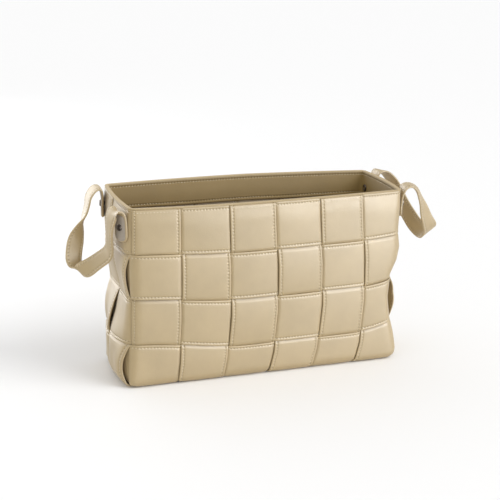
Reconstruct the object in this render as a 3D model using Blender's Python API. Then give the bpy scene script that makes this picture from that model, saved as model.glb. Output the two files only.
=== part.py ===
"""Woven strap storage bin with two riveted loop handles.

The bin is a plain weave of flat padded straps. Six upright straps run down the front, under the base
and up the back, two end straps run down one end, under the base and up the other, and four ring bands
go round the walls. A facing lines the rim, and a strap loop hangs from two riveted tabs at each end.
Metres, +Z up, origin at the centre of the base, +X along the length and +Y towards the back.
"""

import math

import bmesh
import bpy
from mathutils import Matrix, Vector

# Driving dimensions of the weave. The mid-surface is the surface halfway between its two layers.
HALF_LENGTH = 0.150
HALF_DEPTH = 0.047
COLUMNS = 6
END_COLUMNS = 2
ROWS = 4
ROW_PITCH = 0.048
HEIGHT = ROWS * ROW_PITCH
STRAP = 0.0022
LAYER_GAP = 0.0004
STRAP_GAP = 0.0044
CORNER_MARGIN = 0.0045
ARCH = 0.0026
TOP_ARCH = 0.0008
EDGE_RADIUS = 0.005
SIDE_BOW = 0.008
END_BOW = 0.004

LAYER = (STRAP + LAYER_GAP) / 2
SKIN = LAYER + STRAP / 2
FLOOR = SKIN
BASE_TOP = FLOOR + SKIN
ARC_TOP = FLOOR + EDGE_RADIUS

# Rim: a stiffener strip and a facing whose flange covers the strap ends.
CAP = 0.0012
TOUCH = 0.0003
STRAP_TOP = HEIGHT - CAP - 0.0004
STIFFENER = 0.0008
FACING = 0.0010
FACING_DROP = 0.026
STIFFENER_DROP = 0.022

# Loose board on the woven base.
BOARD = 0.002
BOARD_INSET = 0.0045
BOARD_CORNER = 0.006

# Handles: tabs riveted to the end walls, and loops that swing on the fold above the tabs.
RIVET_Y = 0.034
RIVET_Z = 0.1735
TAB_TILT = math.radians(10)
TAB_X = HALF_LENGTH + 0.0060
TAB = 0.0024
TAB_WIDTH = 0.020
TAB_BELOW = 0.0145
TAB_ABOVE = 0.0105
TAB_CORNER = 0.007
PAD = 0.0008
PAD_WIDTH = 0.0165
PAD_BELOW = 0.0125
PAD_ABOVE = 0.0085
RIVET_SHAFT = 0.0020
RIVET_HOLE = 0.0026
RIVET_HEAD = 0.0038
RIVET_HEAD_THICK = 0.0012
RIVET_END = 0.0032
WASHER = 0.0048
WASHER_THICK = 0.0008
FOLD_RADIUS = 0.0022
FOLD_X = HALF_LENGTH + 0.0095
FOLD_Z = RIVET_Z + TAB_ABOVE + FOLD_RADIUS + TOUCH
LOOP_WIDTH = 0.019
LOOP_THICK = 0.0028
LOOP_REACH = 0.038
LOOP_DROP = 0.060
LOOP_LEAN = math.radians(33)

CREAM = (0.76, 0.66, 0.46, 1.0)
CREAM_DARK = (0.66, 0.55, 0.37, 1.0)
GREY_LINING = (0.42, 0.38, 0.32, 1.0)
BOARD_GREY = (0.35, 0.33, 0.29, 1.0)
STEEL = (0.35, 0.33, 0.30, 1.0)


def clear_scene():
    for thing in list(bpy.data.objects):
        bpy.data.objects.remove(thing)


def material(name, colour, roughness, metallic=0.0):
    made = bpy.data.materials.get(name)
    if made is None:
        made = bpy.data.materials.new(name)
        made.use_nodes = True
        shader = made.node_tree.nodes["Principled BSDF"]
        shader.inputs["Base Color"].default_value = colour
        shader.inputs["Roughness"].default_value = roughness
        shader.inputs["Metallic"].default_value = metallic
    return made


def add_object(name, mesh_builder, surface):
    """Links a new object whose mesh comes from the given bmesh."""
    bmesh.ops.recalc_face_normals(mesh_builder, faces=mesh_builder.faces)
    mesh = bpy.data.meshes.new(name)
    mesh_builder.to_mesh(mesh)
    mesh_builder.free()
    mesh.materials.append(surface)
    made = bpy.data.objects.new(name, mesh)
    bpy.context.scene.collection.objects.link(made)
    return made


def sweep(sections, closed):
    """A solid through a row of equal closed outlines. A closed row returns to its first outline."""
    builder = bmesh.new()
    loops = [[builder.verts.new(point) for point in section] for section in sections]
    count = len(loops[0])
    steps = len(loops) if closed else len(loops) - 1
    for i in range(steps):
        here = loops[i]
        there = loops[(i + 1) % len(loops)]
        for k in range(count):
            after = (k + 1) % count
            builder.faces.new((here[k], here[after], there[after], there[k]))
    if not closed:
        builder.faces.new(loops[0])
        builder.faces.new(loops[-1])
    return builder


# ---------------------------------------------------------------- the weave


def boundaries(half, count):
    """Column boundaries along one side, from -half to half."""
    return [-half + 2 * half * i / count for i in range(count + 1)]


def cell_span(edges, index):
    """Where a strap lies flat in one cell: it stops short of its neighbours and of the corners."""
    first = CORNER_MARGIN if index == 0 else STRAP_GAP / 2
    last = CORNER_MARGIN if index == len(edges) - 2 else STRAP_GAP / 2
    return edges[index] + first, edges[index + 1] - last


def cell_profile(start, end, over, arch):
    """(position, level) along a strap in one cell. An outer strap arches, an inner one lies flat."""
    if not over:
        return [(start, -LAYER), ((start + end) / 2, -LAYER), (end, -LAYER)]
    shares = (0.0, 0.25, 0.5, 0.75, 1.0)
    return [
        (start + (end - start) * share, LAYER + arch * math.sin(math.pi * share))
        for share in shares
    ]


def bow(position, half, depth):
    """How far a wall bulges outwards, as a shallow parabola between its corners."""
    return depth * (1 - (position / half) ** 2)


def row_share(row):
    """The walls are straight in the bottom row and bow fully in the top row."""
    return (ROWS - row) / (ROWS - 1)


def row_span(row):
    """Lowest and highest point of the ring band in a row. Row 1 is the top row."""
    low = HEIGHT - row * ROW_PITCH + STRAP_GAP / 2
    high = HEIGHT - (row - 1) * ROW_PITCH - STRAP_GAP / 2
    if row == ROWS:
        low = ARC_TOP + TOUCH
    if row == 1:
        high = STRAP_TOP
    return low, high


def arch_of(row):
    return TOP_ARCH if row == 1 else ARCH


def upright_is_outer(column, row, back):
    return (row + column) % 2 == (1 if back else 0)


def end_is_outer(end_column, row, right):
    return (row + end_column) % 2 == (0 if right else 1)


def ring_is_outer(side, index, row):
    """Whether a ring band lies outside the strap that it crosses. Sides run front, right, back, left."""
    if side == 0:
        return not upright_is_outer(index + 1, row, False)
    if side == 1:
        return not end_is_outer(index + 1, row, True)
    if side == 2:
        return not upright_is_outer(COLUMNS - index, row, True)
    return not end_is_outer(END_COLUMNS - index, row, False)


def side_frame(side):
    """(half length of a side, half distance to its opposite, count of cells, its bow)."""
    if side % 2 == 0:
        return HALF_LENGTH, HALF_DEPTH, COLUMNS, SIDE_BOW
    return HALF_DEPTH, HALF_LENGTH, END_COLUMNS, END_BOW


def side_point(side, position, offset, height):
    """A point on a wall: position runs anticlockwise, seen from above, and offset points outwards."""
    x, y = position, -offset
    for _ in range(side):
        x, y = -y, x
    return Vector((x, y, height))


def wall_point(side, position, level, height, share):
    half, distance, _, depth = side_frame(side)
    out = distance + bow(position, half, depth * share) + level
    return side_point(side, position, out, height)


def corner_point(side, level, height):
    """A point on the rounded corner after a side."""
    half, distance, _, _ = side_frame(side)
    inset = CORNER_MARGIN / 4
    out = level / math.sqrt(2)
    return side_point(side, half - inset + out, distance - inset + out, height)


def ring_section(point, low, high, outer, inner):
    return (
        point(outer, low),
        point(outer, high),
        point(inner, high),
        point(inner, low),
    )


def ring_band(row):
    """One band round the four walls, outside and inside the upright straps by turns."""
    low, high = row_span(row)
    share = row_share(row)
    half_strap = STRAP / 2
    sections = []
    for side in range(4):
        half, _, count, _ = side_frame(side)
        edges = boundaries(half, count)
        for index in range(count):
            start, end = cell_span(edges, index)
            over = ring_is_outer(side, index, row)
            for position, level in cell_profile(start, end, over, arch_of(row)):
                sections.append(
                    ring_section(
                        lambda n, z: wall_point(side, position, n, z, share),
                        low,
                        high,
                        level + half_strap,
                        level - half_strap,
                    )
                )
        sections.append(
            ring_section(
                lambda n, z: corner_point(side, n, z),
                low,
                high,
                half_strap,
                -half_strap,
            )
        )
    return sweep(sections, closed=True)


def wall_run(is_outer):
    """(height, level, row) down one wall from the rim to the start of the bottom edge."""
    run = []
    for row in range(1, ROWS + 1):
        low, high = row_span(row)
        profile = cell_profile(high, low, is_outer(row), arch_of(row))
        run += [(height, level, row) for height, level in profile]
    return run


def edge_run(first_level, last_level):
    """(angle, level) round the bottom edge, from vertical at 0 to level at a quarter turn."""
    steps = 4
    return [
        (
            math.pi / 2 * i / steps,
            first_level + (last_level - first_level) * i / steps,
        )
        for i in range(1, steps)
    ]


def level_of(is_outer):
    return LAYER if is_outer else -LAYER


def strap_path(side, wall_outer, base_cells, far_wall_outer):
    """Sections' centre line as (side, across -> bow, out, height, direction) records.

    Each record is (kind, a, b, level, row): a wall record holds its side and height, an edge record its
    side and angle, and a base record its position along the strap's own direction.
    """
    near = wall_run(wall_outer)
    far = wall_run(far_wall_outer)
    path = [("wall", side, height, level, row) for height, level, row in near]
    first_level = level_of(wall_outer(ROWS))
    last_level = level_of(far_wall_outer(ROWS))
    base_first = level_of(base_cells[0][2])
    base_last = level_of(base_cells[-1][2])
    path += [
        ("edge", side, angle, level, ROWS)
        for angle, level in edge_run(first_level, base_first)
    ]
    for start, end, over in base_cells:
        for position, level in cell_profile(start, end, over, 0.0):
            path.append(("base", side, position, level, ROWS))
    opposite = (side + 2) % 4
    path += [
        ("edge", opposite, angle, level, ROWS)
        for angle, level in reversed(edge_run(last_level, base_last))
    ]
    path += [("wall", opposite, height, level, row) for height, level, row in reversed(far)]
    return path


def path_point(record, across, level, home_side):
    """A point of a strap that runs down home_side. across is its place along that side."""
    kind, side, value, _, row = record
    position = across if side == home_side else -across
    distance = side_frame(side)[1]
    if kind == "wall":
        return wall_point(side, position, level, value, row_share(row))
    if kind == "edge":
        radius = EDGE_RADIUS + level
        out = distance - EDGE_RADIUS + radius * math.cos(value)
        height = ARC_TOP - radius * math.sin(value)
        return side_point(side, position, out, height)
    return side_point(home_side, across, -value, FLOOR - level)


def strap_solid(home_side, start, end, path):
    """A strap of constant thickness along a path, between two places across the side."""
    middle = (start + end) / 2
    sections = []
    for record in path:
        outer = record[3] + STRAP / 2
        inner = record[3] - STRAP / 2
        points = [path_point(record, across, outer, home_side) for across in (start, middle, end)]
        points += [path_point(record, across, inner, home_side) for across in (end, middle, start)]
        sections.append(points)
    return sweep(sections, closed=False)


def upright_strap(column):
    """Runs down the front, under the base and up the back. Columns count from the left."""
    start, end = cell_span(boundaries(HALF_LENGTH, COLUMNS), column - 1)
    edges = boundaries(HALF_DEPTH, END_COLUMNS)
    base_cells = []
    for index in range(END_COLUMNS):
        low, high = base_span(edges, index)
        base_cells.append((low, high, (column + index) % 2 == 1))
    path = strap_path(
        0,
        lambda row: upright_is_outer(column, row, False),
        base_cells,
        lambda row: upright_is_outer(column, row, True),
    )
    return strap_solid(0, start, end, path)


def end_strap(end_column):
    """Runs down the left end, along the base and up the right end. Column 1 is at the front."""
    edges = boundaries(HALF_DEPTH, END_COLUMNS)
    start, end = cell_span(edges, END_COLUMNS - end_column)
    columns = boundaries(HALF_LENGTH, COLUMNS)
    base_cells = []
    for index in range(COLUMNS):
        low, high = base_span(columns, index)
        base_cells.append((low, high, (index + 1 + end_column) % 2 == 1))
    path = strap_path(
        3,
        lambda row: end_is_outer(end_column, row, False),
        base_cells,
        lambda row: end_is_outer(end_column, row, True),
    )
    return strap_solid(3, start, end, path)


def base_span(edges, index):
    """As cell_span, but the outermost cells stop where the bottom edge begins to curve."""
    first = EDGE_RADIUS if index == 0 else STRAP_GAP / 2
    last = EDGE_RADIUS if index == len(edges) - 2 else STRAP_GAP / 2
    return edges[index] + first, edges[index + 1] - last


# ---------------------------------------------------------------- rim and base


def rim_outline(level):
    """Points round the rim at one level, with a short chamfer at each corner."""
    points = []
    for side in range(4):
        half, distance, count, _ = side_frame(side)
        steps = 2 * count
        chamfer = CORNER_MARGIN * 0.55
        reach = half + min(level, 0.0) - chamfer
        for i in range(steps + 1):
            position = -reach + 2 * reach * i / steps
            points.append(wall_point(side, position, level, 0.0, 1.0))
    return points


def rim_ring(levels_and_heights):
    """A ring round the rim whose cross-section is a closed outline of (level, height) corners."""
    outlines = [rim_outline(level) for level, _ in levels_and_heights]
    sections = []
    for i in range(len(outlines[0])):
        section = []
        for outline, (_, height) in zip(outlines, levels_and_heights):
            point = outline[i].copy()
            point.z = height
            section.append(point)
        sections.append(section)
    return sweep(sections, closed=True)


def rim_stiffener():
    outer = -SKIN - TOUCH
    inner = outer - STIFFENER
    low = HEIGHT - STIFFENER_DROP
    high = STRAP_TOP
    return rim_ring([(outer, low), (outer, high), (inner, high), (inner, low)])


def rim_facing():
    """Lines the inside of the rim and folds outwards over the strap ends."""
    back = -SKIN - TOUCH - STIFFENER - TOUCH
    front = back - FACING
    lip = SKIN
    under_cap = HEIGHT - CAP
    low = HEIGHT - FACING_DROP
    return rim_ring(
        [(back, low), (back, under_cap), (lip, under_cap), (lip, HEIGHT), (front, HEIGHT), (front, low)]
    )


def rounded_outline(half_x, half_y, radius, steps):
    """Corner points of a rounded rectangle, anticlockwise."""
    points = []
    for quarter in range(4):
        centre_x = (half_x - radius) * (1 if quarter in (0, 3) else -1)
        centre_y = (half_y - radius) * (1 if quarter in (0, 1) else -1)
        for i in range(steps + 1):
            angle = math.pi / 2 * (quarter + i / steps)
            points.append((centre_x + radius * math.cos(angle), centre_y + radius * math.sin(angle)))
    return points


def plate(outline, low, high):
    return sweep([[(x, y, z) for x, y in outline] for z in (low, high)], closed=False)


def base_board():
    half_x = HALF_LENGTH - BOARD_INSET
    half_y = HALF_DEPTH - BOARD_INSET
    outline = rounded_outline(half_x, half_y, BOARD_CORNER, 3)
    low = BASE_TOP + TOUCH
    return plate(outline, low, low + BOARD)


# ---------------------------------------------------------------- handles


def tab_frame(end, y_sign):
    """Places a piece on an end wall: local +Z points out of the wall and local +Y points up.

    end is -1 for the left end and 1 for the right, y_sign -1 for the front rivet and 1 for the back.
    """
    turn = end * y_sign * TAB_TILT
    out = Matrix.Rotation(turn, 3, "Z") @ Vector((end, 0, 0))
    up = Vector((0, 0, 1))
    along = up.cross(out)
    place = Matrix((along, up, out)).transposed().to_4x4()
    place.translation = Vector((end * TAB_X, y_sign * RIVET_Y, RIVET_Z))
    return place


def tab_outline(width, below, above, corner):
    """A strap end: square at the top and rounded at the bottom."""
    half = width / 2
    points = [(half, above), (-half, above)]
    for centre_x, first in ((-half + corner, math.pi), (half - corner, 1.5 * math.pi)):
        for i in range(5):
            angle = first + math.pi / 2 * i / 4
            points.append((centre_x + corner * math.cos(angle), -below + corner + corner * math.sin(angle)))
    return points


def turned(profile, segments):
    """A solid turned about local Z from (radius, height) points that start and end on the axis."""
    builder = bmesh.new()
    ends = [builder.verts.new((0, 0, profile[i][1])) for i in (0, -1)]
    rings = []
    for radius, height in profile[1:-1]:
        ring = []
        for k in range(segments):
            angle = 2 * math.pi * k / segments
            ring.append(builder.verts.new((radius * math.cos(angle), radius * math.sin(angle), height)))
        rings.append(ring)
    for k in range(segments):
        after = (k + 1) % segments
        builder.faces.new((ends[0], rings[0][k], rings[0][after]))
        builder.faces.new((ends[1], rings[-1][k], rings[-1][after]))
        for lower, upper in zip(rings, rings[1:]):
            builder.faces.new((lower[k], lower[after], upper[after], upper[k]))
    return builder


def washer_ring(outer, inner, low, high, segments):
    sections = []
    for k in range(segments):
        angle = 2 * math.pi * k / segments
        c, s = math.cos(angle), math.sin(angle)
        corners = ((outer, low), (outer, high), (inner, high), (inner, low))
        sections.append([(radius * c, radius * s, height) for radius, height in corners])
    return sweep(sections, closed=True)


def pierce(target, places):
    """Cuts rivet holes through a piece at the given places."""
    for number, place in enumerate(places):
        reach = 0.03
        hole = turned([(0, -reach), (RIVET_HOLE, -reach), (RIVET_HOLE, reach), (0, reach)], 12)
        cutter = add_object(f"{target.name}_hole_{number}", hole, target.data.materials[0])
        cutter.matrix_world = place
        cutter.hide_render = True
        cutter.display_type = "WIRE"
        cut = target.modifiers.new("rivet hole", "BOOLEAN")
        cut.operation = "DIFFERENCE"
        cut.solver = "EXACT"
        cut.object = cutter


def rivet_depth():
    """How far below the tab's inner face the facing's inner face lies, along the rivet."""
    wall = HALF_LENGTH + bow(RIVET_Y, HALF_DEPTH, END_BOW)
    facing = wall - SKIN - 2 * TOUCH - STIFFENER - FACING
    slant = math.tan(TAB_TILT) * 2 * WASHER * 0.5
    return TAB_X - facing + slant


def attachment(end, y_sign, leather, lining, metal):
    """Tab, pad, rivet and washer of one handle end."""
    name = ("left" if end < 0 else "right") + ("_front" if y_sign < 0 else "_back")
    place = tab_frame(end, y_sign)
    tab = add_object(
        name + "_tab", plate(tab_outline(TAB_WIDTH, TAB_BELOW, TAB_ABOVE, TAB_CORNER), 0, TAB), leather
    )
    pad_low = TAB + TOUCH
    pad_outline = tab_outline(PAD_WIDTH, PAD_BELOW, PAD_ABOVE, TAB_CORNER)
    pad = add_object(name + "_tab_pad", plate(pad_outline, pad_low, pad_low + PAD), lining)
    head_low = pad_low + PAD + TOUCH
    head_high = head_low + RIVET_HEAD_THICK
    washer_high = -rivet_depth() - TOUCH
    washer_low = washer_high - WASHER_THICK
    end_high = washer_low - TOUCH
    end_low = end_high - WASHER_THICK
    dish = RIVET_HEAD_THICK * 0.6
    profile = [
        (0, end_low),
        (RIVET_END, end_low),
        (RIVET_END, end_high),
        (RIVET_SHAFT, end_high),
        (RIVET_SHAFT, head_low),
        (RIVET_HEAD, head_low),
        (RIVET_HEAD * 0.92, head_high),
        (RIVET_HEAD * 0.55, head_high),
        (RIVET_HEAD * 0.45, head_high - dish),
        (0, head_high - dish),
    ]
    rivet = add_object(name + "_rivet", turned(profile, 16), metal)
    washer = add_object(
        name + "_washer", washer_ring(WASHER, RIVET_HOLE, washer_low, washer_high, 16), metal
    )
    for piece in (tab, pad, rivet, washer):
        piece.matrix_world = place
    pierce(tab, [place])
    pierce(pad, [place])
    return place


def smooth_step(t):
    t = min(max(t, 0.0), 1.0)
    return t * t * (3 - 2 * t)


def loop_centre(share, end):
    """A point on a handle loop's centre line. Share runs from 0 at the front fold to 1 at the back."""
    angle = math.pi * share
    sink = max(math.sin(angle), 0.0)
    out = LOOP_REACH * sink**0.8
    down = LOOP_DROP * sink
    across = -RIVET_Y * math.cos(angle) * (1 + 0.10 * sink**2)
    return Vector((end * (FOLD_X + out), across, FOLD_Z - down))


def fold_roll(end, y_sign):
    """The rolled fold that the loop swings on, a little wider than the strap that leaves it."""
    half = LOOP_WIDTH / 2 + 0.0004
    steps = 20
    sections = []
    for side in (-half, half):
        ring = []
        for i in range(steps):
            angle = 2 * math.pi * i / steps
            x = end * FOLD_X + FOLD_RADIUS * math.cos(angle)
            z = FOLD_Z + FOLD_RADIUS * math.sin(angle)
            ring.append((x, y_sign * RIVET_Y + side, z))
        sections.append(ring)
    return sweep(sections, closed=False)


def handle_loop(end):
    """A strap from fold to fold. Its width lies along Y at the folds and turns square to the loop below."""
    steps = 36
    centres = [loop_centre(i / steps, end) for i in range(steps + 1)]
    down = Vector((end * math.sin(LOOP_LEAN), 0, -math.cos(LOOP_LEAN)))
    square = Vector((0, 1, 0)).cross(down)
    if square.z < 0:
        square.negate()
    sections = []
    for i, centre in enumerate(centres):
        before = centres[max(i - 1, 0)]
        after = centres[min(i + 1, steps)]
        tangent = (after - before).normalized()
        share = i / steps
        turn = smooth_step((min(share, 1 - share) - 0.03) / 0.30)
        flat = Vector((0, -1 if share > 0.5 else 1, 0))
        wide = flat * (1 - turn) + square * turn
        wide = (wide - tangent * wide.dot(tangent)).normalized() * LOOP_WIDTH / 2
        thick = tangent.cross(wide).normalized() * LOOP_THICK / 2
        sections.append(
            [centre + wide + thick, centre + wide - thick, centre - wide - thick, centre - wide + thick]
        )
    return sweep(sections, closed=False)


def swinging_loop(end, leather):
    """A handle loop with its two rolled folds joined on, turning about the line through the folds."""
    name = ("left" if end < 0 else "right") + "_handle_loop"
    loop = add_object(name, handle_loop(end), leather)
    for y_sign in (-1, 1):
        roll = add_object(f"{name}_fold_{y_sign + 1}", fold_roll(end, y_sign), leather)
        roll.hide_render = True
        roll.display_type = "WIRE"
        join = loop.modifiers.new("fold", "BOOLEAN")
        join.operation = "UNION"
        join.solver = "EXACT"
        join.object = roll
    pivot = bpy.data.objects.new(name + "_axis", None)
    pivot.location = (end * FOLD_X, 0, FOLD_Z)
    bpy.context.scene.collection.objects.link(pivot)
    loop.parent = pivot
    loop.matrix_parent_inverse = Matrix.Translation(pivot.location).inverted()
    return loop


def build():
    clear_scene()
    leather = material("cream leather", CREAM, 0.55)
    facing_leather = material("facing leather", CREAM_DARK, 0.6)
    lining = material("grey lining", GREY_LINING, 0.85)
    board = material("board", BOARD_GREY, 0.8)
    metal = material("dark nickel", STEEL, 0.35, 1.0)

    places = [
        attachment(end, y_sign, leather, lining, metal) for end in (-1, 1) for y_sign in (-1, 1)
    ]
    for column in range(1, COLUMNS + 1):
        add_object(f"upright_strap_{column}", upright_strap(column), leather)
    for end_column, name in ((1, "end_strap_front"), (2, "end_strap_back")):
        strap = add_object(name, end_strap(end_column), leather)
        pierce(strap, [place for place in places if (place.translation.y < 0) == (end_column == 1)])
    for row in range(1, ROWS + 1):
        band = add_object(f"ring_band_{row}", ring_band(row), leather)
        if row == 1:
            pierce(band, places)
    pierce(add_object("rim_stiffener", rim_stiffener(), board), places)
    pierce(add_object("rim_facing", rim_facing(), facing_leather), places)
    add_object("base_board", base_board(), board)
    for end in (-1, 1):
        swinging_loop(end, leather)


build()
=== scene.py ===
"""Woven strap storage bin: the looks of a basket of stitched leather-look straps with two loop handles.

Laid out as an add-on: sizes and colours are properties, each group of pieces is one operator, and main
calls the operators in order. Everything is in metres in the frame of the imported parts.
"""

import math

import bpy
import numpy as np
from mathutils import Matrix, Vector


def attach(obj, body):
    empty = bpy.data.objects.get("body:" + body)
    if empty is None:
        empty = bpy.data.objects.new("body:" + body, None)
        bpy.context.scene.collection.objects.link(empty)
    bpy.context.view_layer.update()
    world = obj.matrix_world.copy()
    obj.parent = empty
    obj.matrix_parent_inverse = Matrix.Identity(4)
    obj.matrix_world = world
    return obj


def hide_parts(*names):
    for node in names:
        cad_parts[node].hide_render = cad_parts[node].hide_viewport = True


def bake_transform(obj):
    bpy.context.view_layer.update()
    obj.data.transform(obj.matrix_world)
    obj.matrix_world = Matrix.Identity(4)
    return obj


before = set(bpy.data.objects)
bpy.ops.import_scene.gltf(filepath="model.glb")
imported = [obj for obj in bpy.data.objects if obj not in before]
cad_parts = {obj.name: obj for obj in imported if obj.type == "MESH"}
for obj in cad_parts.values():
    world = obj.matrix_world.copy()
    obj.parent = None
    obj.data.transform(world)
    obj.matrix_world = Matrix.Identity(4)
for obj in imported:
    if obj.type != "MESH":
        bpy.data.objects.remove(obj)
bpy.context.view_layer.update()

bl_info = {
    "name": "Woven Strap Storage Bin",
    "version": (1, 0, 0),
    "blender": (4, 5, 0),
    "location": "View3D > Sidebar > Woven Bin",
    "description": "Builds the straps, rim, handles, rivets and stitching of a woven storage bin",
    "category": "Object",
}

# The weave's grid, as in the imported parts: the mid-surface lies halfway between the two layers.
HALF_LENGTH = 0.150
HALF_DEPTH = 0.047
COLUMNS = 6
END_COLUMNS = 2
ROWS = 4
ROW_PITCH = 0.048
CELL = 2 * HALF_LENGTH / COLUMNS
HEIGHT = ROWS * ROW_PITCH
AROUND = 4 * (HALF_LENGTH + HALF_DEPTH)

MM = 0.001
# The least that half a strap's thickness may be, so that its faces never meet.
THINNEST = 0.00005
# Half the gap between two straps that cross.
LAYER_GAP = 0.0001

ROOT = "basket"
HANDLES = {-1: "left_handle", 1: "right_handle"}


def linear(code):
    """Linear RGB from an sRGB hex code."""
    channels = [int(code[i : i + 2], 16) / 255 for i in (0, 2, 4)]
    return tuple(c / 12.92 if c <= 0.04045 else ((c + 0.055) / 1.055) ** 2.4 for c in channels)


def smooth(value, low, high):
    """0 below low, 1 above high, and a smooth step between."""
    share = np.clip((np.asarray(value, float) - low) / (high - low), 0.0, 1.0)
    return share * share * (3 - 2 * share)


def bell(value, middle, width):
    """1 at the middle, fading to 0 over about twice the width."""
    return np.exp(-(((value - middle) / width) ** 2))


def quarter_round(share):
    """A quarter circle's rise: from 0 at 0, steeply, to 1 at 1."""
    return np.sqrt(np.clip(1 - (1 - np.clip(share, 0.0, 1.0)) ** 2, 0.0, 1.0))


# ---------------------------------------------------------------- properties


RGB = {"size": 3, "min": 0.0, "max": 1.0}


class BinSizes(bpy.types.PropertyGroup):
    strap_thickness: bpy.props.FloatProperty(
        name="Strap Thickness",
        description="Thickness of a padded strap at its middle",
        default=0.0018,
        min=0.001,
        max=0.005,
        unit="LENGTH",
    )
    upright_width: bpy.props.FloatProperty(
        name="Upright Width", description="Width of the straps down the long sides", default=0.0492, unit="LENGTH"
    )
    end_width: bpy.props.FloatProperty(
        name="End Strap Width", description="Width of the straps down the ends", default=0.0462, unit="LENGTH"
    )
    band_width: bpy.props.FloatProperty(
        name="Band Width", description="Width of the straps round the walls", default=0.0474, unit="LENGTH"
    )
    arch: bpy.props.FloatProperty(
        name="Arch", description="How far a strap bulges where it lies on top", default=0.0010, unit="LENGTH"
    )
    front_bow: bpy.props.FloatProperty(
        name="Side Bow", description="How far the long sides bulge at the rim", default=0.008, unit="LENGTH"
    )
    end_bow: bpy.props.FloatProperty(
        name="End Bow", description="How far the ends bulge at the rim", default=0.0035, unit="LENGTH"
    )
    stitch_pitch: bpy.props.FloatProperty(
        name="Stitch Pitch", description="Distance from one stitch to the next", default=0.0033, unit="LENGTH"
    )
    stitch_inset: bpy.props.FloatProperty(
        name="Stitch Inset", description="Distance from a strap's edge to its stitching", default=0.0030, unit="LENGTH"
    )
    handle_width: bpy.props.FloatProperty(
        name="Handle Width", description="Width of the handle strap", default=0.0185, unit="LENGTH"
    )
    handle_thickness: bpy.props.FloatProperty(
        name="Handle Thickness", description="Thickness of the handle strap", default=0.0027, unit="LENGTH"
    )


class BinColours(bpy.types.PropertyGroup):
    leather: bpy.props.FloatVectorProperty(
        name="Leather", description="Colour of the straps' face", subtype="COLOR", default=linear("B19C74"), **RGB
    )
    facing: bpy.props.FloatVectorProperty(
        name="Facing", description="Colour of the rim facing", subtype="COLOR", default=linear("967E4C"), **RGB
    )
    thread: bpy.props.FloatVectorProperty(
        name="Thread", description="Colour of the topstitching", subtype="COLOR", default=linear("E2D3B2"), **RGB
    )
    lining: bpy.props.FloatVectorProperty(
        name="Lining", description="Colour of the pads on the tabs", subtype="COLOR", default=linear("A29788"), **RGB
    )
    board: bpy.props.FloatVectorProperty(
        name="Board", description="Colour of the covered board", subtype="COLOR", default=linear("9C8763"), **RGB
    )
    metal: bpy.props.FloatVectorProperty(
        name="Metal", description="Colour of the rivets", subtype="COLOR", default=linear("575049"), **RGB
    )
    floor: bpy.props.FloatVectorProperty(
        name="Floor", description="Colour of the studio floor", subtype="COLOR", default=linear("F6F6F6"), **RGB
    )


# ---------------------------------------------------------------- materials


def add_node(tree, kind, links=None, **settings):
    """Adds a node. Settings are its attributes, or input values under a name or number in `inputs`."""
    node = tree.nodes.new(kind)
    values = settings.pop("inputs", {})
    for key, value in settings.items():
        setattr(node, key, value)
    for key, value in values.items():
        node.inputs[key].default_value = value
    for key, source in (links or {}).items():
        tree.links.new(source, node.inputs[key])
    return node


def new_material(name):
    """An empty material with its tree and its output node."""
    made = bpy.data.materials.new(name)
    made.use_nodes = True
    tree = made.node_tree
    tree.nodes.clear()
    return made, tree, tree.nodes.new("ShaderNodeOutputMaterial")


def rgba(colour, factor=1.0):
    return tuple(min(c * factor, 1.0) for c in colour) + (1.0,)


def leather_material(name, colour, sizes, half_width=0.0, roughness=0.56, cap=None):
    """Coated split leather, embossed and buffed: a satin face with a fine pebble grain about 1 mm across,
    slightly mottled. A half_width says that it is stitched, which paints shade into the needle holes (a darker colour
    stands in for the shade in them) and puckers the face round them. A cap is the paler colour of the straps, on the
    facing's fold over the rim."""
    made, tree, output = new_material(name)
    where = add_node(tree, "ShaderNodeTexCoord").outputs["Object"]
    mottle = add_node(
        tree, "ShaderNodeTexNoise", {"Vector": where}, inputs={"Scale": 28.0, "Detail": 4.0, "Roughness": 0.55}
    )
    tone = add_node(tree, "ShaderNodeValToRGB", {"Fac": mottle.outputs["Fac"]})
    for stop, position, factor in zip(tone.color_ramp.elements, (0.30, 0.70), (0.93, 1.04)):
        stop.position = position
        stop.color = rgba(colour, factor)
    base = tone.outputs["Color"]
    pebble = add_node(
        tree,
        "ShaderNodeTexVoronoi",
        {"Vector": where},
        feature="SMOOTH_F1",
        inputs={"Scale": 900.0, "Smoothness": 0.6, "Randomness": 1.0},
    )
    crease = add_node(
        tree, "ShaderNodeTexNoise", {"Vector": where}, inputs={"Scale": 160.0, "Detail": 6.0, "Roughness": 0.6}
    )
    grain = add_node(
        tree, "ShaderNodeBump", {"Height": pebble.outputs["Distance"]}, inputs={"Strength": 0.10, "Distance": 0.0004}
    )
    relief = add_node(
        tree,
        "ShaderNodeBump",
        {"Height": crease.outputs["Fac"], "Normal": grain.outputs["Normal"]},
        inputs={"Strength": 0.18, "Distance": 0.0006},
    )
    normal = relief.outputs["Normal"]
    if cap is not None:
        base = add_cap_colour(tree, base, half_width, cap)
    # Stitched leather gets painted shade in its needle holes and a pucker round each.
    if half_width:
        base, normal = add_needle_hole_shade(tree, base, normal, sizes, half_width, colour)
    shade = add_node(
        tree,
        "ShaderNodeMapRange",
        {"Value": crease.outputs["Fac"]},
        inputs={"To Min": roughness - 0.06, "To Max": roughness + 0.08},
    )
    shader = add_node(
        tree,
        "ShaderNodeBsdfPrincipled",
        {"Base Color": base, "Roughness": shade.outputs["Result"], "Normal": normal},
        inputs={
            "IOR": 1.5,
            "Specular IOR Level": 0.5 if cap is None else 0.3,
            "Sheen Weight": 0.25 if cap is None else 0.1,
            "Sheen Roughness": 0.35,
        },
    )
    tree.links.new(shader.outputs["BSDF"], output.inputs["Surface"])
    return made


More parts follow.
